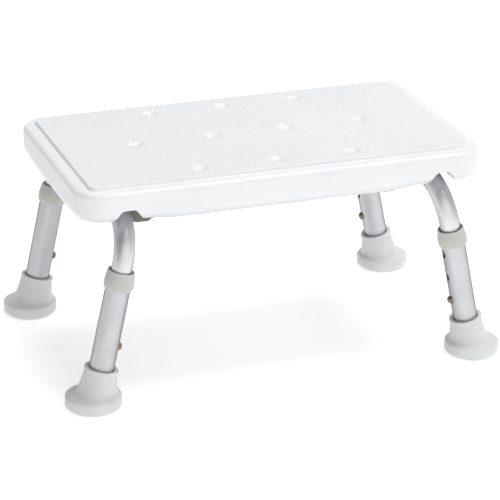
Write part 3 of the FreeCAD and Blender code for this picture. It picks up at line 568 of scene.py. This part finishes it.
def seat_shell():
    """The closed seat: top and underside sheets joined by a wall, with a mask for its grain."""
    half_x, half_y, underside, tall = seat_places()
    tube_x, run, tube_radius = tube_places()
    x_in, y_in = half_x - CORNER, half_y - CORNER
    arches = [(at - ARCH_HALF - 2, at + ARCH_HALF + 2, ARCH_GRID) for at in (-tube_x, tube_x)]
    run_ends = [(at - 1.5, at + 1.5, RUN_GRID) for at in (-run, run)]
    lines_x = stops(-x_in, x_in, arches)
    lines_y = stops(-y_in, y_in, run_ends)
    arc_steps = np.linspace(0, math.pi / 2, 26)[1:-1]
    top_insets, bottom_insets = seat_insets()
    top, top_faces, count = seat_sheet(
        lines_x, lines_y, top_insets, arc_steps, half_x, half_y,
        lambda x, y, d: top_height(x, y, d, half_x, half_y, tall))
    bottom, bottom_faces, _ = seat_sheet(
        lines_x, lines_y, bottom_insets, arc_steps, half_x, half_y,
        lambda x, y, d: bottom_height(x, y, d, tube_x, run, tube_radius))
    rows = []
    for row in range(1, WALL_ROWS):
        t = row / WALL_ROWS
        rows.append(bottom[:count] * (1 - t) + top[:count] * t)
    points = np.concatenate([top, bottom, *rows])
    faces = list(top_faces)
    faces += [tuple(f + len(top) for f in reversed(face)) for face in bottom_faces]
    starts = [len(top)] + [len(top) + len(bottom) + k * count for k in range(WALL_ROWS - 1)] + [0]
    for low, high in zip(starts, starts[1:]):
        for k in range(count):
            n = (k + 1) % count
            faces.append((low + k, low + n, high + n, high + k))
    points, faces = weld(points, faces)
    x, y = points[:, 0], points[:, 1]
    panel = inside_rectangle(x, y, half_x - PANEL_INSET, half_y - PANEL_INSET, PANEL_CORNER)
    mask = smooth_step(0.6, 2.4, panel) * (points[:, 2] > tall - PANEL_RISE)
    mask = mask * (1 - 0.75 * smooth_step(0.1, 1.0, dimples(x, y)))
    points[:, 2] += underside
    shell = make_piece("seat_shell", points, faces, "frame", ["seat"], "seat_plastic", SEAT, 50)
    grained = shell.data.attributes.new("grain", "FLOAT", "POINT")
    grained.data.foreach_set("value", mask.astype(np.float32))
    return shell


# ---------------------------------------------------------------- bent upper tubes
BEND_RADIUS = 40
TUBE_WALL = 1.2


def upper_tube(side):
    """A tube swept along its run and two bends, with its wall and a UV map along it."""
    tube_x, run, radius = tube_places()
    sign = -1 if side == "left" else 1
    name = f"upper_tube_{side}"
    underside = corners("seat")[0][2]
    up = -Vector(JOINTS[f"leg_slide_front_{side}"]["axis"])
    top = Vector((sign * tube_x, 0, underside))
    leg = leg_matrix(f"front_{side}")
    low = measured(name, leg)[0][2]
    length = (top - Vector((leg.translation.x, 0, 0))).dot(up) - low
    route = []
    for end in (-1, 1):
        half = []
        for z in np.linspace(length, BEND_RADIUS, 12, endpoint=False):
            half.append((end * (run + BEND_RADIUS), -z, Vector((0, 0, 1))))
        for a in np.linspace(0, math.pi / 2, 33):
            half.append((end * (run + BEND_RADIUS * math.cos(a)), -BEND_RADIUS * (1 - math.sin(a)),
                         Vector((0, -end * math.sin(a), math.cos(a)))))
        route.append(half)
    straight = [(y, 0.0, Vector((0, 1, 0))) for y in np.linspace(-run, run, 18)[1:-1]]
    back = [(y, z, -heading) for y, z, heading in reversed(route[1])]
    stations = route[0] + straight + back
    side_way = Vector((1, 0, 0))
    segments = 64
    angles = np.linspace(0, 2 * math.pi, segments, endpoint=False)
    tilt = Matrix((Vector((0, 1, 0)).cross(up), Vector((0, 1, 0)), up)).transposed()

    def sweep(thick):
        rings = []
        for y, z, heading in stations:
            other = heading.cross(side_way)
            centre = Vector((0, y, z))
            across, down = side_way * thick, other * thick
            rings.append([top + tilt @ (centre + across * math.cos(a) + down * math.sin(a))
                          for a in angles])
        return rings

    outer, inner = sweep(radius), sweep(radius - TUBE_WALL)
    rings = outer + inner[::-1]
    points = np.array([list(p) for ring in rings for p in ring])
    faces = between(rings, True)
    tube = make_piece(f"bent_tube_{side}", points, faces, "frame", [name], "upper_aluminium", UPPER)
    spots = [0.0]
    for one, two in zip(stations, stations[1:]):
        spots.append(spots[-1] + math.hypot(two[0] - one[0], two[1] - one[1]))
    spots = spots + spots[::-1]
    layer = tube.data.uv_layers.new(name="UVMap")
    for face in tube.data.polygons:
        columns = [tube.data.loops[k].vertex_index % segments for k in face.loop_indices]
        wraps = max(columns) - min(columns) > 1
        for k, column in zip(face.loop_indices, columns):
            ring = tube.data.loops[k].vertex_index // segments
            turn = column + segments if wraps and column == 0 else column
            layer.data[k].uv = (turn / segments, spots[ring] / UV_LENGTH)
    return tube


# ---------------------------------------------------------------- legs
def collar(leg):
    """A moulded cap: upright band below, tapered above, with a softened lip round the guide bore."""
    name, matrix = f"tube_collar_{leg}", leg_matrix(leg)
    low, high = measured(name, matrix)
    tube_high = measured(f"lower_tube_{leg}", matrix)[1]
    outer, bottom, top = high[0], low[2], high[2] - 1.2
    tube, tube_top = tube_high[0], tube_high[2]
    narrow, guide = outer - 1.5, tube_places()[2] + 0.1
    path = rounded_path([
        (tube + 0.05, bottom), (tube + 1.1, bottom, 0.4), (outer - 0.15, bottom + 2.6, 1.2),
        (outer, bottom + 8.6, 2.5), (narrow, top, 0.8), (narrow - 1.5, top, 0.35),
        (narrow - 1.7, tube_top + 1.2, 0.2), (guide, tube_top + 1.2, 0.2), (guide, tube_top - 9),
        (tube - 1.3, tube_top - 9), (tube - 1.3, tube_top), (tube + 0.05, tube_top)])
    rings = turned_rings(path, 96, matrix)
    return make_piece(f"collar_{leg}", np.concatenate(rings), between(rings, True), f"leg_{leg}", [name],
                      "collar_plastic", COLLAR)


DISC_TOP, LEDGE_TOP = 12.4, 15.0  # heights where the foot's disc ends and its ledge ends
SLEEVE_START = 18.0  # height above which the foot's rings lean with the leg


def foot(leg):
    """A rubber foot: an upright disc with a ledge, and a sleeve that leans with the leg."""
    name, matrix = f"rubber_foot_{leg}", leg_matrix(leg)
    high = measured(name, matrix)[1]
    turn = 0 if "left" in leg else math.pi
    upright = Matrix.Translation(matrix.translation) @ Matrix.Rotation(turn, 4, "Z")
    radius = (corners(name)[1][0] - corners(name)[0][0]) / 2
    tube_low, tube_high = measured(f"lower_tube_{leg}", matrix)
    tube, seat_at, top = tube_high[0], tube_low[2], high[2]
    sleeve_low, sleeve_top, bore = tube + 7.2, tube + 3.7, tube + 0.1
    lip = sleeve_top + 0.75
    treads = []
    for inner, outer in ((0.16, 0.24), (0.34, 0.42), (0.52, 0.60), (0.70, 0.78)):
        treads += [(inner * radius, 0, 0.3), (inner * radius + 0.6, 1.4, 0.3),
                   (outer * radius - 0.6, 1.4, 0.3), (outer * radius, 0, 0.3)]
    path = rounded_path([
        (0, 0), *treads, (radius - 3.4, 0, 2.2), (radius, 3.4, 2.6), (radius - 0.1, 12.2, 1.3),
        (radius - 1.6, 13.3, 0.8), (sleeve_low + 1.2, 14.6, 0.9), (sleeve_low, 16.6, 1.0),
        (sleeve_top, top - 3.9, 0.6), (lip, top - 2.9, 0.5), (lip, top - 0.3, 0.9),
        (sleeve_top - 0.9, top, 0.5), (bore + 0.5, top - 0.3, 0.4), (bore, top - 1.4, 0.3),
        (bore, seat_at - 1.5), (0, seat_at - 1.5)], 5)
    heights = np.array([height for _, height in path])
    slid = smooth_step(DISC_TOP, LEDGE_TOP, heights) * heights * math.tan(LEAN)
    leans = heights > SLEEVE_START
    leans[heights.argmax():] = True
    inboard = np.array(upright)[:3, 0]
    rings = [leant if leaning else stood + inboard * shift for stood, leant, shift, leaning in
             zip(turned_rings(path, 96, upright), turned_rings(path, 96, matrix), slid, leans)]
    return make_piece(f"foot_{leg}", *capped(rings), f"leg_{leg}", [name], "foot_rubber", FOOT, 60)


def button(leg):
    """A turned brass pin with a bright dome, a small flange and a rolled edge."""
    name, matrix = f"snap_button_{leg}", leg_matrix(leg)
    low, high = measured(name, matrix)
    middle = (low[2] + high[2]) / 2
    flange, inner, tip = (high[2] - low[2]) / 2, low[0], high[0]
    shank = flange - 1.0
    line = matrix @ Matrix.Translation((0, 0, middle)) @ Matrix.Rotation(math.pi / 2, 4, "Y")
    path = rounded_path([
        (0, inner), (flange, inner, 0.3), (flange, inner + 1.0, 0.3), (shank, inner + 1.0, 0.2),
        (shank, tip - 2.4, 0.9), (shank * 0.72, tip - 0.75, 1.2), (shank * 0.3, tip - 0.06, 1.2),
        (0, tip)], 6)
    return make_piece(f"button_{leg}", *capped(turned_rings(path, 48, line)), f"button_{leg}", [name],
                      "button_brass", BRASS)


KNOB_LOBES, KNOB_SCALLOP = 8, 1.7
LOBE_FLAT = 0.35  # how far below zero the lobes' wave is cut off, which flattens their crests
NECK_RADIUS, STUD_RADIUS = 8.0, 3.15


def knob(leg):
    """A scalloped hand knob with a softened rim, a dished underside and a neck."""
    name = f"clamp_knob_{leg}"
    low, high = corners(name)
    centre = (low + high) / 2
    radius = (high[0] - low[0]) / 2 + 0.5
    bottom, top = low[2], high[2]
    shelf = top - 3.8
    profile = rounded_path([
        (0, bottom + 1.2), (radius * 0.55, bottom + 1.2, 2), (radius * 0.62, bottom, 1.0),
        (radius - 1.5, bottom, 3.0), (radius, bottom + 3.5, 3.0), (radius, shelf - 1.5, 1.5),
        (radius - 3, shelf, 1.5), (NECK_RADIUS + 1, shelf, 0.6), (NECK_RADIUS, shelf + 0.8, 0.5),
        (NECK_RADIUS, top, 0.3), (STUD_RADIUS, top), (STUD_RADIUS, bottom + 4), (0, bottom + 4)], 4)
    segments = 128
    angles = np.linspace(0, 2 * math.pi, segments, endpoint=False)
    wave = np.maximum(np.cos(angles * KNOB_LOBES), -LOBE_FLAT)
    rings = []
    for r, z in profile:
        share = float(smooth_step(9.5, radius, np.array(r)))
        around = r - KNOB_SCALLOP * share * (wave + LOBE_FLAT) / (1 + LOBE_FLAT)
        rings.append(np.stack([centre[0] + around * np.cos(angles), centre[1] + around * np.sin(angles),
                               np.full(segments, z)], axis=1))
    return make_piece(f"knob_{leg}", *capped(rings), f"knob_{leg}", [name], "clamp_plastic", CLAMP, 50)


# ---------------------------------------------------------------- studio
AZIMUTH, ELEVATION, ROLL = -19.99, 22.79, 0.66  # degrees
LENS, SENSOR = 173.7, 36  # millimetres
DISTANCE = 2.337
LOOKS_AT = (-0.0225, -0.0675, 0.1182)


def camera():
    """A long lens at the front left, a little above the stool."""
    azimuth, elevation, roll = (math.radians(angle) for angle in (AZIMUTH, ELEVATION, ROLL))
    back = Vector((math.sin(azimuth) * math.cos(elevation), -math.cos(azimuth) * math.cos(elevation),
                   math.sin(elevation)))
    right = Vector((math.cos(azimuth), math.sin(azimuth), 0))
    up = back.cross(right)
    right, up = (right * math.cos(roll) + up * math.sin(roll), up * math.cos(roll) - right * math.sin(roll))
    data = bpy.data.cameras.new("camera")
    data.sensor_width = SENSOR
    data.lens = LENS
    data.clip_end = 50
    thing = bpy.data.objects.new("camera", data)
    bpy.context.scene.collection.objects.link(thing)
    turn = Matrix((right, up, back)).transposed().to_4x4()
    thing.matrix_world = Matrix.Translation(Vector(LOOKS_AT) + back * DISTANCE) @ turn
    bpy.context.scene.camera = thing


MIDDLE = (0, 0, 0.15)


def softbox(name, place, width, tall, power):
    """A rectangular light, aimed at the middle of the stool."""
    data = bpy.data.lights.new(name, "AREA")
    data.shape = "RECTANGLE"
    data.size, data.size_y = width, tall
    data.energy = power
    thing = bpy.data.objects.new(name, data)
    bpy.context.scene.collection.objects.link(thing)
    thing.location = place
    thing.rotation_euler = (Vector(MIDDLE) - Vector(place)).to_track_quat("-Z", "Y").to_euler()


FLOOR_REACH = 9.0
FLOOR_DARK, FLOOR_PALE = (0.94, 0.94, 0.94), (0.955, 0.955, 0.955)
FLOOR_GLOW = (0.41, 0.56)  # emission near the stool and far away, so that no horizon shows
GLOW_RISES = (1.3, 6)  # metres from the stool where it starts and ends to rise


def floor():
    """A pale seamless floor, lit through from below like a studio light table.

    It comes in four quarters with a skirt along their joins."""
    material, tree, shader = new_material("floor_paper", 0, 0.8)
    shader.inputs["Specular IOR Level"].default_value = 0.1
    cloud = grain(tree, places(tree), 0.4, 3)
    tree.links.new(blend_colours(tree, cloud, FLOOR_DARK, FLOOR_PALE), shader.inputs["Base Color"])
    shader.inputs["Emission Color"].default_value = (1, 1, 1, 1)
    away = tree.nodes.new("ShaderNodeVectorMath")
    away.operation = "LENGTH"
    tree.links.new(places(tree), away.inputs[0])
    glow = spread(tree, away.outputs["Value"], *FLOOR_GLOW, GLOW_RISES)
    tree.links.new(glow, shader.inputs["Emission Strength"])
    for leg in LEGS:
        joint = JOINTS[f"leg_slide_{leg}"]
        skirt = 2 * joint["axis"][2] * joint["range_m"][1]
        x = -FLOOR_REACH if "left" in leg else FLOOR_REACH
        y = -FLOOR_REACH if "front" in leg else FLOOR_REACH
        points = [(0, 0, 0), (x, 0, 0), (x, y, 0), (0, y, 0), (0, 0, skirt), (x, 0, skirt), (0, y, skirt)]
        mesh = bpy.data.meshes.new(f"floor_{leg}")
        mesh.from_pydata(points, [], [(0, 1, 2, 3), (0, 1, 5, 4), (0, 3, 6, 4)])
        mesh.materials.append(material)
        quarter = bpy.data.objects.new(f"floor_{leg}", mesh)
        bpy.context.scene.collection.objects.link(quarter)
        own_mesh(quarter)


HORIZON, OVERHEAD = 0.95, 0.34  # how bright the studio's walls and ceiling are
LEFT_WALL = 0.62  # the left wall's share of the right one's brightness
HORIZON_TO_CEILING = (0, 0.62)  # the direction's Z from which and up to which they blend
LEFT_TO_RIGHT = (-0.8, 0.4)  # the direction's X from which and up to which they blend


def studio():
    """Soft walls, a darker ceiling, a key light overhead and a wide light at the front."""
    world = bpy.data.worlds.new("studio")
    bpy.context.scene.world = world
    world.use_nodes = True
    background = world.node_tree.nodes["Background"]
    background.inputs["Color"].default_value = (1, 1, 1, 1)
    tree = world.node_tree
    heading = tree.nodes.new("ShaderNodeSeparateXYZ")
    tree.links.new(tree.nodes.new("ShaderNodeTexCoord").outputs["Generated"], heading.inputs[0])
    climb = spread(tree, heading.outputs["Z"], HORIZON, OVERHEAD, HORIZON_TO_CEILING)
    across = spread(tree, heading.outputs["X"], LEFT_WALL, 1, LEFT_TO_RIGHT)
    tree.links.new(arithmetic(tree, "MULTIPLY", climb, across), background.inputs["Strength"])
    softbox("key", (0.7, 0.2, 3.0), 2.0, 2.0, 74)
    softbox("front", (-0.1, -2.6, 1.35), 4.8, 2.0, 22)
    scene = bpy.context.scene
    scene.view_settings.view_transform = "Standard"
    scene.view_settings.look = "None"


camera()
floor()
studio()
finish_carried_nodes()
seat_shell()
for tube_side in SIDES:
    upper_tube(tube_side)
for leg_name in LEGS:
    collar(leg_name)
    foot(leg_name)
    button(leg_name)
    knob(leg_name)
